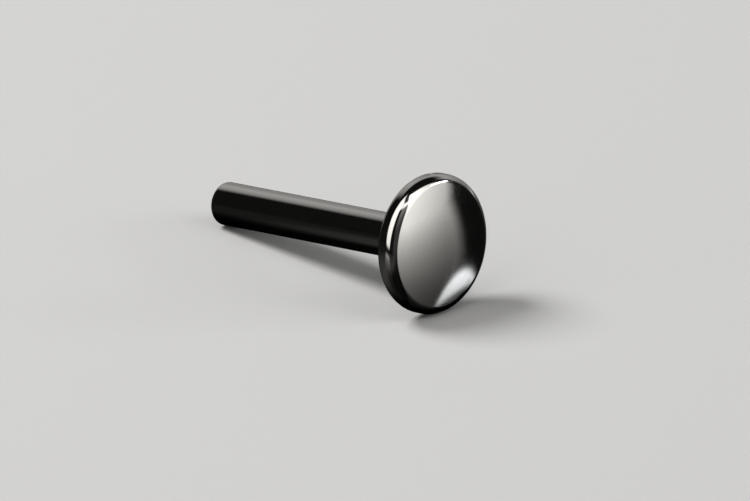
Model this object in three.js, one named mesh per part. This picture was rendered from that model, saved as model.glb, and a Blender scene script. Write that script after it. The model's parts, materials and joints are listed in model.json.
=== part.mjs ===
// The base of a labret stud: a round, slightly domed disc on a straight post, turned from one bar of titanium.
// Millimetres, +Z up. The stud lies on a surface as it does by itself, on the rim of its disc and on the end of
// its post, with the disc towards +X. The origin is on that surface, under the middle of the stud.

import * as THREE from 'three';

// Disc
const discRadius = 2.0;
const discThickness = 0.8; // at the middle of the domed face
const domeRadius = 10.5; // curvature of the face
const faceEdgeRadius = 0.3; // rounding between the domed face and the side wall
const backEdgeRadius = 0.22; // rounding between the side wall and the flat back

// Post
const postRadius = 0.625; // 16 gauge
const postLength = 8.0; // from the disc's flat back to the end of the post
const rootFillet = 0.1; // inside corner between the post and the disc's back
const endChamfer = 0.1; // outer edge of the post's end

// Socket in the end of the post, for the pin of a top
const socketRadius = 0.4;
const socketDepth = 2.5; // to the end of its straight wall
const socketMouthChamfer = 0.04;
const drillPointAngle = THREE.MathUtils.degToRad(118);

// Fineness
const segmentsAround = 72;
const domeSteps = 5;
const faceEdgeSteps = 6;
const backEdgeSteps = 5;
const filletSteps = 3;

// The profile is drawn with the axis of the stud as its Y: x is the distance from that axis, y is 0 at the
// disc's flat back, and the post runs down from there.

/** Points of an arc, both ends included, with angles in radians from the profile's +X. */
function arc(centre, radius, from, to, steps) {
  return Array.from({ length: steps + 1 }, (_, i) => {
    const angle = THREE.MathUtils.lerp(from, to, i / steps);
    return new THREE.Vector2(centre.x + radius * Math.cos(angle), centre.y + radius * Math.sin(angle));
  });
}

/** The blind socket, from its drilled bottom on the axis out to its mouth. */
function socketProfile() {
  const drillPointHeight = socketRadius / Math.tan(drillPointAngle / 2);
  return [
    new THREE.Vector2(0, -postLength + socketDepth + drillPointHeight),
    new THREE.Vector2(socketRadius, -postLength + socketDepth),
    new THREE.Vector2(socketRadius, -postLength + socketMouthChamfer),
    new THREE.Vector2(socketRadius + socketMouthChamfer, -postLength),
  ];
}

/** The outside of the post, from its flat end to the fillet at the disc. */
function postProfile() {
  const filletCentre = new THREE.Vector2(postRadius + rootFillet, -rootFillet);
  return [
    new THREE.Vector2(postRadius - endChamfer, -postLength),
    new THREE.Vector2(postRadius, -postLength + endChamfer),
    ...arc(filletCentre, rootFillet, Math.PI, Math.PI / 2, filletSteps),
  ];
}

/** The disc, from the outer edge of its flat back round to the middle of its domed face. */
function discProfile() {
  const backEdgeCentre = new THREE.Vector2(discRadius - backEdgeRadius, backEdgeRadius);
  // The rounded edge touches the dome from inside, so they meet without a corner, on one line from the dome's centre.
  const domeCentre = new THREE.Vector2(0, discThickness - domeRadius);
  const edgeCentreRadius = discRadius - faceEdgeRadius;
  const meeting = Math.acos(edgeCentreRadius / (domeRadius - faceEdgeRadius));
  const faceEdgeCentre = new THREE.Vector2(
    edgeCentreRadius,
    domeCentre.y + (domeRadius - faceEdgeRadius) * Math.sin(meeting),
  );
  const dome = arc(domeCentre, domeRadius, meeting, Math.PI / 2, domeSteps).slice(1);
  dome.at(-1).x = 0;
  return [
    ...arc(backEdgeCentre, backEdgeRadius, -Math.PI / 2, 0, backEdgeSteps),
    ...arc(faceEdgeCentre, faceEdgeRadius, 0, meeting, faceEdgeSteps),
    ...dome,
  ];
}

/** The turned stud, its axis along +X, the disc's flat back at X = 0, and a facet of the rim straight down. */
function makeStudGeometry(profile) {
  const geometry = new THREE.LatheGeometry(profile, segmentsAround, Math.PI / segmentsAround);
  geometry.rotateZ(-Math.PI / 2);
  return geometry;
}

/** The tilt at which the rim of the disc and the end of the post both touch the surface. */
function restTilt(profile, acrossFlats) {
  const end = new THREE.Vector2(postRadius, -postLength + endChamfer);
  const slopes = profile
    .filter((point) => point.x > postRadius)
    .map((point) => Math.atan2((point.x - end.x) * acrossFlats, point.y - end.y));
  return Math.max(...slopes);
}

const polishedMetal = new THREE.MeshStandardMaterial({ color: 0xc4c2be, metalness: 1, roughness: 0.08 });

const profile = [...socketProfile(), ...postProfile(), ...discProfile()];
const stud = new THREE.Mesh(makeStudGeometry(profile), polishedMetal);
stud.name = 'disc_and_post';

// The facet that faces straight down is nearer to the axis than the rim's corners, by this share.
const acrossFlats = Math.cos(Math.PI / segmentsAround);
const tilt = restTilt(profile, acrossFlats);

const lying = new THREE.Group();
lying.rotation.y = -tilt;
lying.position.z = postRadius * acrossFlats * Math.cos(tilt) + (postLength - endChamfer) * Math.sin(tilt);
lying.add(stud);

const labretStud = new THREE.Group();
labretStud.add(lying);

// The origin is under the middle of the stud's length.
const bounds = new THREE.Box3().setFromObject(labretStud, true);
labretStud.position.x = -(bounds.min.x + bounds.max.x) / 2;

export default labretStud;
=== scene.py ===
"""The looks of the labret stud: one turned, mirror-polished piece of titanium, lying on a pale floor."""

import json
import math

import bpy
from mathutils import Matrix, Vector


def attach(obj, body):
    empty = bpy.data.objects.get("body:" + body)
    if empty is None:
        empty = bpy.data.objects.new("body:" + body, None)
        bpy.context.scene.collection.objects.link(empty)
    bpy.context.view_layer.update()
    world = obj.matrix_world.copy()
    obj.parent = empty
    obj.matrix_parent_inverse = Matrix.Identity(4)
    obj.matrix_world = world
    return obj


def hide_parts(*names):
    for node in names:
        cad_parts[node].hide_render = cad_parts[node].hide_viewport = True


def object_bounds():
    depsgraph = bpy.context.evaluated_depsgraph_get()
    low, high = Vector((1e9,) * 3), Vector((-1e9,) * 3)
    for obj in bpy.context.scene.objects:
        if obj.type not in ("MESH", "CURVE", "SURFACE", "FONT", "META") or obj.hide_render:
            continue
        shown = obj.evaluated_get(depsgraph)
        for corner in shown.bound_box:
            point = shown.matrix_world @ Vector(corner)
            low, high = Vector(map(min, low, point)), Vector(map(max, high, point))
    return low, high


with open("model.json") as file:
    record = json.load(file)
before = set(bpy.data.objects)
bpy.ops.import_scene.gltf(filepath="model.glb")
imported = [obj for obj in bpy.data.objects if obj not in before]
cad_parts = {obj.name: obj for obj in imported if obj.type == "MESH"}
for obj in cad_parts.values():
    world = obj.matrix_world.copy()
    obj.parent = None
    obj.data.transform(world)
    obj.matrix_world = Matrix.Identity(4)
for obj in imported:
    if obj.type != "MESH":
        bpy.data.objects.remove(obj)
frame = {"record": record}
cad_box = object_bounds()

# A millimetre, in metres
MM = 0.001

# Angles of the section's outward normal: away from the axis, to the face, to the post's end, and to the axis
OUT, UP, DOWN, IN = 0.0, math.pi / 2, -math.pi / 2, -math.pi

# The stud's section, in millimetres. The CAD model has chamfers where this has END_ROUNDING and
# SOCKET_MOUTH_ROUNDING.
DISC_RADIUS = 2.0
DISC_THICKNESS = 0.8
DOME_RADIUS = 10.5
FACE_EDGE_RADIUS = 0.3
BACK_EDGE_RADIUS = 0.22
POST_RADIUS = 0.625
POST_LENGTH = 8.0
ROOT_FILLET = 0.1
END_ROUNDING = 0.1
SOCKET_RADIUS = 0.4
SOCKET_DEPTH = 2.5
SOCKET_MOUTH_ROUNDING = 0.04
DRILL_POINT_ANGLE = math.radians(118)
SEGMENTS_AROUND = 288
ON_AXIS = 1e-6

# The polished metal's two tints. A noise is its scale per millimetre, its detail and perhaps its roughness.
METAL_WARM = (0.57, 0.554, 0.522, 1)
METAL_COOL = (0.55, 0.54, 0.518, 1)
TINT_NOISE = (0.5, 2.0)

# Its roughness: a haze between two values, and what grain, turning lines and hairlines add
HAZE_NOISE = (0.8, 3.0)
HAZE_ROUGHNESS = (0.3, 0.7, 0.035, 0.06)
GRAIN_NOISE = (16.0, 3.0)
GRAIN_ADDS = 0.02
TURNING_ADDS = 0.025
HAIRLINES_ADD = 0.08

# Its turning lines and hairlines
TURNING_LINES_PER_MM = 10
TURNING_NOISE = (1.0, 3.0, 0.7)
HAIRLINE_SCALE = (3.6, 0.07, 3.6)
HAIRLINE_NOISE = (1.0, 1.0)
HAIRLINE_WIDTH = 0.014
HAIRLINE_TURNS = [(0.4, 0.9, 0.5), (-0.7, 0.2, 1.3), (1.2, -0.5, -0.6)]
HAIRLINE_BREAK_NOISE = (1.3, 1.0)
HAIRLINE_BREAKS = (0.45, 0.7, 0.0, 1.0)

# Its bumps
SWELL_NOISE = (0.9, 1.0)
SWELL_HEIGHT = 0.0008 * MM
LINE_HEIGHT = 0.0004 * MM
HAIRLINE_DEPTH = 0.00003 * MM

# The camera, at the photograph's angle and with its framing. Azimuth 0 is -Y, and 90 is +X.
CAMERA_AT = (43.35, 22.82)
CAMERA_ROLL = 2.49
CAMERA_DISTANCE = 300 * MM
CAMERA_CLIP = (0.01, 10)
FRAME_WIDTH = 21.12 * MM
DISC_RIGHT_OF_MIDDLE = 1.399 * MM
DISC_ABOVE_MIDDLE = 0.241 * MM

# The floor, a pale matt sheet
FLOOR_RADIUS = 1.0
FLOOR_SIDES = 96
FLOOR_COLOUR = (0.41, 0.407, 0.4, 1)

# The dark glossy sheet that the metal mirrors in the floor's place; the camera never sees it. Its colour is
# painted
# shade: it grows along the post towards the disc, falls near black close beside the stud as a painted shadow
# and mirror image of the stud, and falls near black past the disc as a painted dark reflection in the disc's
# face.
# A ramp is two places and a value at each. The first two ramps are factors on the painted shade. The last
# two, multiplied, are the part of it that is lost. The dark stretch beside the stud grows by the widening
# factor below of the way along it.
PAINTED_SHADE_STRENGTH = 0.041
PAINTED_SHADE_ALONG_POST = (-4 * MM, 2.5 * MM, 0.25, 1.0)
PAINTED_SHADE_BESIDE_STUD = (0.9 * MM, 2.2 * MM, 0.05, 1.0)
PAINTED_SHADE_WIDENS_BY = 0.08
PAINTED_DARK_PAST_DISC = (2.2 * MM, 4.2 * MM, 0.0, 0.915)
PAINTED_DARK_ACROSS = (-7 * MM, -3.5 * MM, 0.0, 1.0)
DARK_ROUGHNESS = 0.03
DARK_IOR = 1.1

# What the metal mirrors above the floor, in degrees: soft boxes, and a round lamp with a round shade.
# A box's left and right edges are azimuths, as polynomials in the elevation. Its low and high edges are
# elevations, as polynomials in the azimuth. rise is two elevations and its strength at each, and fade is two
# azimuths and a factor at each. Azimuths run from FIRST_AZIMUTH on.
AMBIENT = 0.008
FIRST_AZIMUTH = -85
LEFT_BOX = dict(
    left=(-12, -0.75),
    right=(22, 0.1),
    low=(6,),
    high=(78,),
    rise=(0, 40, 1.3, 1.8),
    softness=4,
)
ARCH = dict(
    left=(10,),
    right=(99,),
    low=(60.6, 0.14, -0.0035),
    high=(71, 0.14, -0.0036),
    rise=(0, 1, 1.6, 1.6),
)
RIGHT_BOX = dict(
    left=(113, -0.42),
    right=(136.6, 0.5, -0.012),
    low=(-8,),
    high=(80,),
    rise=(0, 12, 1.34, 2.05),
    fade=(118, 134, 1.0, 0.6),
)
BACKDROP = dict(
    left=(162,),
    right=(268,),
    low=(-25,),
    high=(38,),
    rise=(3, 28, 0.2, 0.52),
    softness=9,
)
HORIZON = dict(
    left=(162,),
    right=(274,),
    low=(-8,),
    high=(2,),
    rise=(0, 1, 0.5, 0.5),
    softness=3,
)
DIM_FILL = dict(
    left=(62,),
    right=(112,),
    low=(-6,),
    high=(60,),
    rise=(20, 50, 0.05, 0.35),
    softness=12,
)
BOX_COLOUR = (1, 0.995, 0.985, 1)
LAMP_AT = (141.6, 26.1)
LAMP_RADIUS = 9.2
LAMP_SHADE_AT = (147, 50.2)
LAMP_SHADE_RADIUS = 29.6
LAMP_SOFTNESS = 0.9
LAMP_STRENGTH = 29
LAMP_COLOUR = (0.96, 1, 1.06, 1)

# The light that shades the floor. The metal doesn't mirror it.
KEY_AT = (300, 50)
KEY_DISTANCE = 0.5
KEY_SIZE = 0.25
KEY_POWER = 3


# ------------------------------------------------------------------ the stud's mesh


def arc(centre, radius, start, end, steps):
    """Section points: radius, height and outward normal's angle. An inside corner's radius is negative."""
    points = []
    for i in range(steps + 1):
        angle = start + (end - start) * i / steps
        points.append((centre[0] + radius * math.cos(angle), centre[1] + radius * math.sin(angle), angle))
    return points


def line(start, end, steps):
    """A straight stretch of section points, walked with the metal on the left."""
    normal = math.atan2(end[1] - start[1], end[0] - start[0]) - math.pi / 2
    points = []
    for i in range(steps + 1):
        t = i / steps
        points.append((start[0] + (end[0] - start[0]) * t, start[1] + (end[1] - start[1]) * t, normal))
    return points


def socket_section():
    """The blind socket, from its drilled bottom on the axis out to the post's flat end."""
    bottom = -POST_LENGTH + SOCKET_DEPTH
    point_height = SOCKET_RADIUS / math.tan(DRILL_POINT_ANGLE / 2)
    mouth = (SOCKET_RADIUS + SOCKET_MOUTH_ROUNDING, -POST_LENGTH + SOCKET_MOUTH_ROUNDING)
    return [
        line((0, bottom + point_height), (SOCKET_RADIUS, bottom), steps=4),
        line((SOCKET_RADIUS, bottom), (SOCKET_RADIUS, mouth[1]), steps=12),
        arc(mouth, SOCKET_MOUTH_ROUNDING, IN, DOWN, steps=6),
    ]


def post_section():
    """The post's end and side, and the inside corner at the disc."""
    end_centre = (POST_RADIUS - END_ROUNDING, -POST_LENGTH + END_ROUNDING)
    fillet_centre = (POST_RADIUS + ROOT_FILLET, -ROOT_FILLET)
    mouth_edge = (SOCKET_RADIUS + SOCKET_MOUTH_ROUNDING, -POST_LENGTH)
    return [
        line(mouth_edge, (end_centre[0], -POST_LENGTH), steps=2),
        arc(end_centre, END_ROUNDING, DOWN, OUT, steps=12),
        line((POST_RADIUS, end_centre[1]), (POST_RADIUS, -ROOT_FILLET), steps=40),
        arc(fillet_centre, -ROOT_FILLET, OUT, DOWN, steps=10),
    ]


def disc_section():
    """The disc's flat back, its rounded edge and its domed face, which meet without a corner."""
    back_centre = (DISC_RADIUS - BACK_EDGE_RADIUS, BACK_EDGE_RADIUS)
    dome_centre = (0, DISC_THICKNESS - DOME_RADIUS)
    reach = DOME_RADIUS - FACE_EDGE_RADIUS
    meeting = math.acos((DISC_RADIUS - FACE_EDGE_RADIUS) / reach)
    face_centre = (DISC_RADIUS - FACE_EDGE_RADIUS, dome_centre[1] + reach * math.sin(meeting))
    return [
        line((POST_RADIUS + ROOT_FILLET, 0), (back_centre[0], 0), steps=8),
        arc(back_centre, BACK_EDGE_RADIUS, DOWN, OUT, steps=16),
        line((DISC_RADIUS, back_centre[1]), (DISC_RADIUS, face_centre[1]), steps=2),
        arc(face_centre, FACE_EDGE_RADIUS, OUT, meeting, steps=20),
        arc(dome_centre, DOME_RADIUS, meeting, UP, steps=28),
    ]


def turned_rings(stretches):
    """The turned section's vertices, and its bands: two rings each, with the normal's angle at both."""
    rings = []
    vertices = []
    bands = []
    for stretch in stretches:
        for k, (radius, height, angle) in enumerate(stretch):
            if rings and k == 0:
                continue  # a stretch starts on the ring where the one before it ended
            count = 1 if radius < ON_AXIS else SEGMENTS_AROUND
            rings.append(range(len(vertices), len(vertices) + count))
            for i in range(count):
                turn = 2 * math.pi * i / SEGMENTS_AROUND
                vertices.append((radius * math.cos(turn) * MM, radius * math.sin(turn) * MM, height * MM))
            if k > 0:
                bands.append((rings[-2], rings[-1], stretch[k - 1][2], angle))
    return vertices, bands


def normal_at(angle, turn):
    """The outward normal, angle above level in the section, with the section turned about Z."""
    level = math.cos(angle)
    return (level * math.cos(turn), level * math.sin(turn), math.sin(angle))


def band_faces(bands):
    """The faces between the rings, four-sided but at the axis, and the normal at each of their corners."""
    faces = []
    normals = []
    for low, high, low_angle, high_angle in bands:
        for i in range(SEGMENTS_AROUND):
            corners = [(low, i, low_angle), (low, i + 1, low_angle)]
            corners += [(high, i + 1, high_angle), (high, i, high_angle)]
            if len(low) == 1:
                corners.pop(0)
            if len(high) == 1:
                corners.pop()
            faces.append([ring[step % len(ring)] for ring, step, _ in corners])
            for _, step, angle in corners:
                normals.append(normal_at(angle, 2 * math.pi * step / SEGMENTS_AROUND))
    return faces, normals


def turned_mesh(name, stretches):
    """The section turned about local Z: closed, smooth, and with the true curve's normal at every corner."""
    vertices, bands = turned_rings(stretches)
    faces, normals = band_faces(bands)
    mesh = bpy.data.meshes.new(name)
    mesh.from_pydata(vertices, [], faces)
    mesh.shade_smooth()
    mesh.normals_split_custom_set(normals)
    return mesh


def lying_place(mesh):
    """The turn and shift that lay the mesh, its axis along Z, in the CAD model's place."""
    post_end = next(m for m in frame["record"]["mounts"] if m["name"] == "post_end")
    turn = (-Vector(post_end["axis"])).to_track_quat("Z", "Y").to_matrix().to_4x4()
    points = [turn @ v.co for v in mesh.vertices]
    low, high = Vector(map(min, *points)), Vector(map(max, *points))
    cad_low, cad_high = cad_box
    shift = (cad_low + cad_high - low - high) / 2
    shift.z = cad_low.z - low.z
    return Matrix.Translation(shift) @ turn


# ------------------------------------------------------------------ shader helpers


class Nodes:
    """Adds nodes to a tree, and links what each one is given."""

    def __init__(self, tree):
        self.tree = tree

    def add(self, kind, inputs=None, **settings):
        node = self.tree.nodes.new(kind)
        for key, value in settings.items():
            setattr(node, key, value)
        for key, value in (inputs or {}).items():
            if isinstance(value, bpy.types.NodeSocket):
                self.tree.links.new(value, node.inputs[key])
            else:
                node.inputs[key].default_value = value
        return node

    def math(self, operation, *values):
        return self.add("ShaderNodeMath", dict(enumerate(values)), operation=operation).outputs[0]

    def curve(self, value, coefficients):
        """A polynomial in the value, its coefficients from the constant up."""
        total = coefficients[-1]
        for coefficient in reversed(coefficients[:-1]):
            total = self.math("MULTIPLY_ADD", value, total, coefficient)
        return total

    def dot(self, a, b):
        return self.add("ShaderNodeVectorMath", {0: a, 1: b}, operation="DOT_PRODUCT").outputs["Value"]

    def ramp(self, value, from_low, from_high, to_low, to_high, smooth=False):
        inputs = {
            "Value": value,
            "From Min": from_low,
            "From Max": from_high,
            "To Min": to_low,
            "To Max": to_high,
        }
        kind = "SMOOTHSTEP" if smooth else "LINEAR"
        return self.add("ShaderNodeMapRange", inputs, interpolation_type=kind).outputs["Result"]

    def noise(self, vector, scale, detail, roughness=0.5):
        inputs = {"Vector": vector, "Scale": scale, "Detail": detail, "Roughness": roughness}
        return self.add("ShaderNodeTexNoise", inputs).outputs["Fac"]


def new_material(name):
    material = bpy.data.materials.new(name)
    material.use_nodes = True
    material.node_tree.nodes.clear()
    return material, Nodes(material.node_tree)


# ------------------------------------------------------------------ the metal


def stud_millimetres(n, place):
    """Millimetres from the middle of the disc's back, with Z along the stud."""
    inputs = {
        "Vector": n.add("ShaderNodeTexCoord").outputs["Object"],
        "Location": place.translation,
        "Rotation": place.to_euler(),
        "Scale": (MM, MM, MM),
    }
    return n.add("ShaderNodeMapping", inputs, vector_type="TEXTURE").outputs[0]


def turning_lines(n, in_mm):
    """Noise along the section, drawn out around the axis."""
    x, y, z = n.add("ShaderNodeSeparateXYZ", {0: in_mm}).outputs
    from_axis = n.math("SQRT", n.math("ADD", n.math("POWER", x, 2), n.math("POWER", y, 2)))
    along = n.math("MULTIPLY", n.math("SUBTRACT", z, from_axis), TURNING_LINES_PER_MM)
    around = n.add("ShaderNodeCombineXYZ", {"X": x, "Y": y, "Z": along}).outputs[0]
    return n.noise(around, *TURNING_NOISE)


def hair(n, in_mm, turn):
    """Thin broken lines, 1 in a line and 0 beside it: the zero crossings of a noise drawn out one way."""
    turned = n.add("ShaderNodeMapping", {"Vector": in_mm, "Rotation": turn}).outputs[0]
    stretched = n.add("ShaderNodeMapping", {"Vector": turned, "Scale": HAIRLINE_SCALE}).outputs[0]
    off_line = n.math("ABSOLUTE", n.math("SUBTRACT", n.noise(stretched, *HAIRLINE_NOISE), 0.5))
    on_line = n.ramp(off_line, 0.0, HAIRLINE_WIDTH, 1.0, 0.0, smooth=True)
    unbroken = n.ramp(n.noise(turned, *HAIRLINE_BREAK_NOISE), *HAIRLINE_BREAKS, smooth=True)
    return n.math("MULTIPLY", on_line, unbroken)


def crossing_hairlines(n, in_mm):
    """Sets of hairlines that cross, where the strongest shows."""
    hairlines = hair(n, in_mm, HAIRLINE_TURNS[0])
    for turn in HAIRLINE_TURNS[1:]:
        hairlines = n.math("MAXIMUM", hairlines, hair(n, in_mm, turn))
    return hairlines


def metal_roughness(n, in_mm, turning, hairlines):
    """A haze, roughened a little by a fine grain, the turning lines and the hairlines."""
    roughness = n.ramp(n.noise(in_mm, *HAZE_NOISE), *HAZE_ROUGHNESS)
    roughness = n.math("MULTIPLY_ADD", n.noise(in_mm, *GRAIN_NOISE), GRAIN_ADDS, roughness)
    roughness = n.math("MULTIPLY_ADD", turning, TURNING_ADDS, roughness)
    return n.math("MULTIPLY_ADD", hairlines, HAIRLINES_ADD, roughness)


def metal_normal(n, in_mm, turning, hairlines):
    """Slow swells, with the turning lines on them and the hairlines cut into both."""
    swells = n.add("ShaderNodeBump", {"Distance": SWELL_HEIGHT, "Height": n.noise(in_mm, *SWELL_NOISE)})
    lines = n.add(
        "ShaderNodeBump",
        {"Distance": LINE_HEIGHT, "Height": turning, "Normal": swells.outputs[0]},
    )
    scratches = n.add(
        "ShaderNodeBump",
        {"Distance": HAIRLINE_DEPTH, "Height": hairlines, "Normal": lines.outputs[0]},
        invert=True,
    )
    return scratches.outputs[0]


def polished_titanium(place):
    """Mirror-polished bare titanium, with a faint haze and the hairlines of turning and wiping."""
    material, n = new_material("polished_titanium")
    in_mm = stud_millimetres(n, place)
    turning = turning_lines(n, in_mm)
    hairlines = crossing_hairlines(n, in_mm)
    colour = n.add(
        "ShaderNodeMix",
        {"Factor": n.noise(in_mm, *TINT_NOISE), "A": METAL_WARM, "B": METAL_COOL},
        data_type="RGBA",
    )
    shader = n.add(
        "ShaderNodeBsdfPrincipled",
        {
            "Base Color": colour.outputs["Result"],
            "Metallic": 1.0,
            "Roughness": metal_roughness(n, in_mm, turning, hairlines),
            "Normal": metal_normal(n, in_mm, turning, hairlines),
        },
    )
    n.add("ShaderNodeOutputMaterial", {"Surface": shader.outputs[0]})
    return material


# ------------------------------------------------------------------ the floor


def painted_shade_colour(n):
    """The dark sheet's colour, which is painted shade: it grows along the post towards the disc, and falls
    near black close beside the stud, as a painted shadow and mirror image of the stud, and past the disc, as
    a painted dark reflection in the disc's face.

    The dark stretch beside the stud is wider towards the disc, where the stud is higher.
    """
    place = n.add("ShaderNodeTexCoord").outputs["Object"]
    x, y, _ = n.add("ShaderNodeSeparateXYZ", {0: place}).outputs
    along = n.ramp(x, *PAINTED_SHADE_ALONG_POST)
    # Painted shade close beside the stud, standing in for its shadow and mirror image in the sheet
    beside = n.math("SUBTRACT", n.math("ABSOLUTE", y), n.math("MULTIPLY", x, PAINTED_SHADE_WIDENS_BY))
    clear_of_painted_stud_shade = n.ramp(beside, *PAINTED_SHADE_BESIDE_STUD, smooth=True)
    # Painted darkening past the disc, for the black that the disc's face mirrors
    painted_darkening = n.ramp(x, *PAINTED_DARK_PAST_DISC, smooth=True)
    painted_darkening = n.math("MULTIPLY", painted_darkening, n.ramp(y, *PAINTED_DARK_ACROSS, smooth=True))
    shade = n.math("MULTIPLY", PAINTED_SHADE_STRENGTH, along)
    shade = n.math("MULTIPLY", shade, clear_of_painted_stud_shade)
    return n.math("MULTIPLY", shade, n.math("SUBTRACT", 1, painted_darkening))


def floor_with_painted_shade():
    """A pale matt sheet to the camera. Every other ray, the metal's reflections included, meets a dark glossy
    sheet whose colour is painted shade.
    """
    material, n = new_material("floor_with_painted_shade")
    pale = n.add("ShaderNodeBsdfDiffuse", {"Color": FLOOR_COLOUR})
    dark = n.add(
        "ShaderNodeBsdfPrincipled",
        {"Base Color": painted_shade_colour(n), "Roughness": DARK_ROUGHNESS, "IOR": DARK_IOR},
    )
    # The camera sees the pale sheet; all other rays see the dark sheet with its painted shade
    seen = n.add("ShaderNodeLightPath").outputs["Is Camera Ray"]
    sheet = n.add("ShaderNodeMixShader", {0: seen, 1: dark.outputs[0], 2: pale.outputs[0]})
    n.add("ShaderNodeOutputMaterial", {"Surface": sheet.outputs[0]})
    return material


# ------------------------------------------------------------------ the studio


def direction(azimuth, elevation):
    """Towards a place in the studio, in degrees. Azimuth 0 is -Y, and 90 is +X."""
    a, e = math.radians(azimuth), math.radians(elevation)
    return Vector((math.sin(a) * math.cos(e), -math.cos(a) * math.cos(e), math.sin(e)))


def soft_box(n, azimuth, elevation, left, right, low, high, rise, fade=None, softness=3.0):
    """The strength of one soft box, softened by so many degrees on each side of its four edges."""
    edges = [
        (azimuth, n.curve(elevation, left), -softness, softness),
        (azimuth, n.curve(elevation, right), softness, -softness),
        (elevation, n.curve(azimuth, low), -softness, softness),
        (elevation, n.curve(azimuth, high), softness, -softness),
    ]
    light = n.ramp(elevation, *rise)
    if fade:
        light = n.math("MULTIPLY", light, n.ramp(azimuth, *fade))
    for here, edge, dark, lit in edges:
        inside = n.ramp(n.math("SUBTRACT", here, edge), dark, lit, 0.0, 1.0, smooth=True)
        light = n.math("MULTIPLY", light, inside)
    return light


def angle_from(n, towards, place):
    """The angle between a direction and a place in the studio, in degrees."""
    return n.math("DEGREES", n.math("ARCCOSINE", n.dot(towards, direction(*place))))


def round_lamp(n, towards):
    """A round lamp, with a round shade in front of part of it."""
    past_rim = n.math("SUBTRACT", angle_from(n, towards, LAMP_AT), LAMP_RADIUS)
    past_shade = n.math("SUBTRACT", angle_from(n, towards, LAMP_SHADE_AT), LAMP_SHADE_RADIUS)
    lit = n.ramp(past_rim, -LAMP_SOFTNESS, LAMP_SOFTNESS, LAMP_STRENGTH, 0.0, smooth=True)
    clear = n.ramp(past_shade, -LAMP_SOFTNESS, LAMP_SOFTNESS, 0.0, 1.0, smooth=True)
    return n.math("MULTIPLY", lit, clear)


def studio():
    """The world: everything above the floor that the metal mirrors, and a little light from all round."""
    world = bpy.data.worlds.new("studio")
    bpy.context.scene.world = world
    world.use_nodes = True
    world.node_tree.nodes.clear()
    n = Nodes(world.node_tree)
    towards = n.add("ShaderNodeTexCoord").outputs["Generated"]
    x, y, z = n.add("ShaderNodeSeparateXYZ", {0: towards}).outputs
    azimuth = n.math("DEGREES", n.math("ARCTAN2", x, n.math("MULTIPLY", y, -1)))
    azimuth = n.math("WRAP", azimuth, FIRST_AZIMUTH + 360, FIRST_AZIMUTH)
    elevation = n.math("DEGREES", n.math("ARCSINE", z))
    total = AMBIENT
    for box in (LEFT_BOX, ARCH, RIGHT_BOX, BACKDROP, HORIZON, DIM_FILL):
        total = n.math("ADD", soft_box(n, azimuth, elevation, **box), total)
    boxes = n.add("ShaderNodeBackground", {"Color": BOX_COLOUR, "Strength": total})
    lamp = n.add("ShaderNodeBackground", {"Color": LAMP_COLOUR, "Strength": round_lamp(n, towards)})
    both = n.add("ShaderNodeAddShader", {0: boxes.outputs[0], 1: lamp.outputs[0]})
    n.add("ShaderNodeOutputWorld", {"Surface": both.outputs[0]})


def key_light(target):
    """A soft round light from above, aimed at the target."""
    data = bpy.data.lights.new("key_light", "AREA")
    data.shape = "DISK"
    data.size = KEY_SIZE
    data.energy = KEY_POWER
    light = bpy.data.objects.new("key_light", data)
    bpy.context.scene.collection.objects.link(light)
    back = direction(*KEY_AT)
    facing = back.to_track_quat("Z", "Y").to_matrix().to_4x4()
    light.matrix_world = Matrix.Translation(target + back * KEY_DISTANCE) @ facing
    light.visible_glossy = False


def camera(target):
    """The scene's camera, with the target where the photograph has the middle of the disc's back."""
    data = bpy.data.cameras.new("camera")
    cam = bpy.data.objects.new("camera", data)
    bpy.context.scene.collection.objects.link(cam)
    data.lens = data.sensor_width * CAMERA_DISTANCE / FRAME_WIDTH
    data.clip_start, data.clip_end = CAMERA_CLIP
    back = direction(*CAMERA_AT)
    level = direction(CAMERA_AT[0] + 90, 0)
    turn = Matrix.Rotation(math.radians(CAMERA_ROLL), 3, back)
    right, up = turn @ level, turn @ back.cross(level)
    middle = target - right * DISC_RIGHT_OF_MIDDLE - up * DISC_ABOVE_MIDDLE
    facing = Matrix((right, up, back)).transposed().to_4x4()
    cam.matrix_world = Matrix.Translation(middle + back * CAMERA_DISTANCE) @ facing
    bpy.context.scene.camera = cam


# ------------------------------------------------------------------ the scene

MESH = turned_mesh("stud", socket_section() + post_section() + disc_section())
PLACE = lying_place(MESH)
MESH.transform(PLACE)
MESH.materials.append(polished_titanium(PLACE))
STUD = bpy.data.objects.new("stud", MESH)
bpy.context.scene.collection.objects.link(STUD)
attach(STUD, "root")
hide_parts("disc_and_post")

bpy.ops.mesh.primitive_circle_add(
    vertices=FLOOR_SIDES,
    radius=FLOOR_RADIUS,
    fill_type="NGON",
    location=(0, 0, cad_box[0].z),
)
FLOOR = bpy.context.object
FLOOR.name = "floor"
FLOOR.data.materials.append(floor_with_painted_shade())

studio()
key_light(PLACE.translation)
camera(PLACE.translation)
bpy.context.scene.view_settings.view_transform = "Standard"
